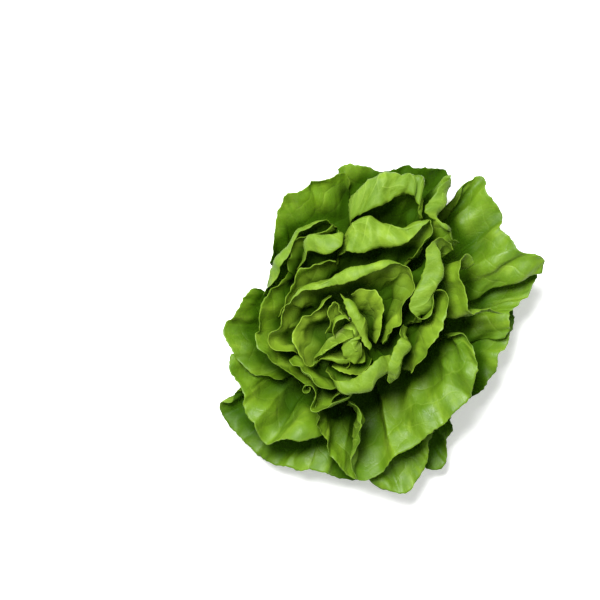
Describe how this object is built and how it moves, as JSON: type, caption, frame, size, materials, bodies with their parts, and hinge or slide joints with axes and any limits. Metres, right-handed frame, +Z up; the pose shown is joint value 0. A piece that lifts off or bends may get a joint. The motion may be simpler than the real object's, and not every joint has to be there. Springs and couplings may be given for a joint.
{
  "type": "butterhead lettuce",
  "caption": "Soft round lettuce head of waved, cupped green leaves wrapped about a pale heart, standing on the cut end of its stem",
  "frame": {"origin": "Middle of the cut face at the bottom of the stem, on the surface that the head stands on", "axes": "+Z up along the stem through the heart; +X to the right and +Y to the top of the head as seen from above in the picture"},
  "size_m": [0.253, 0.2579, 0.1167],
  "materials": {
    "stem": "damp cut stem",
    "heart": "satin leaf",
    "leaf_wrap": "satin leaf",
    "leaf_wrap_bottom": "satin leaf",
    "leaf_inner_right": "satin leaf",
    "leaf_flap": "satin leaf",
    "leaf_hood_inner": "satin leaf",
    "leaf_right_fold": "satin leaf",
    "leaf_right_pocket": "satin leaf",
    "leaf_small_tip": "satin leaf",
    "leaf_lower_left_fold": "satin leaf",
    "leaf_upper_left_cup": "satin leaf",
    "leaf_curl": "satin leaf",
    "leaf_left_ruffle": "satin leaf",
    "leaf_upper_left_hood": "satin leaf",
    "leaf_top_hood_large": "satin leaf",
    "leaf_left_outer": "satin leaf",
    "leaf_top_right_hood": "satin leaf",
    "leaf_upper_left": "satin leaf",
    "leaf_top_left": "satin leaf",
    "leaf_lower_right_large": "satin leaf",
    "leaf_bottom": "satin leaf",
    "leaf_right_tip": "satin leaf",
    "leaf_lower_left": "satin leaf",
    "leaf_right_side": "satin leaf",
    "leaf_bottom_outer": "satin leaf",
    "leaf_top_low": "satin leaf",
    "leaf_bottom_left_low": "satin leaf",
    "leaf_right_low": "satin leaf",
    "leaf_lower_right_low": "satin leaf"
  },
  "bodies": {
    "root": {"stem": "stem", "heart": "heart", "leaf_wrap": "leaf_wrap", "leaf_wrap_bottom": "leaf_wrap_bottom", "leaf_inner_right": "leaf_inner_right", "leaf_flap": "leaf_flap", "leaf_hood_inner": "leaf_hood_inner", "leaf_right_fold": "leaf_right_fold", "leaf_right_pocket": "leaf_right_pocket", "leaf_small_tip": "leaf_small_tip", "leaf_lower_left_fold": "leaf_lower_left_fold", "leaf_upper_left_cup": "leaf_upper_left_cup", "leaf_curl": "leaf_curl", "leaf_left_ruffle": "leaf_left_ruffle", "leaf_upper_left_hood": "leaf_upper_left_hood", "leaf_top_hood_large": "leaf_top_hood_large", "leaf_left_outer": "leaf_left_outer", "leaf_top_right_hood": "leaf_top_right_hood", "leaf_upper_left": "leaf_upper_left", "leaf_top_left": "leaf_top_left", "leaf_lower_right_large": "leaf_lower_right_large", "leaf_bottom": "leaf_bottom", "leaf_right_tip": "leaf_right_tip", "leaf_lower_left": "leaf_lower_left", "leaf_right_side": "leaf_right_side", "leaf_bottom_outer": "leaf_bottom_outer", "leaf_top_low": "leaf_top_low", "leaf_bottom_left_low": "leaf_bottom_left_low", "leaf_right_low": "leaf_right_low", "leaf_lower_right_low": "leaf_lower_right_low"}
  },
  "joints": []
}
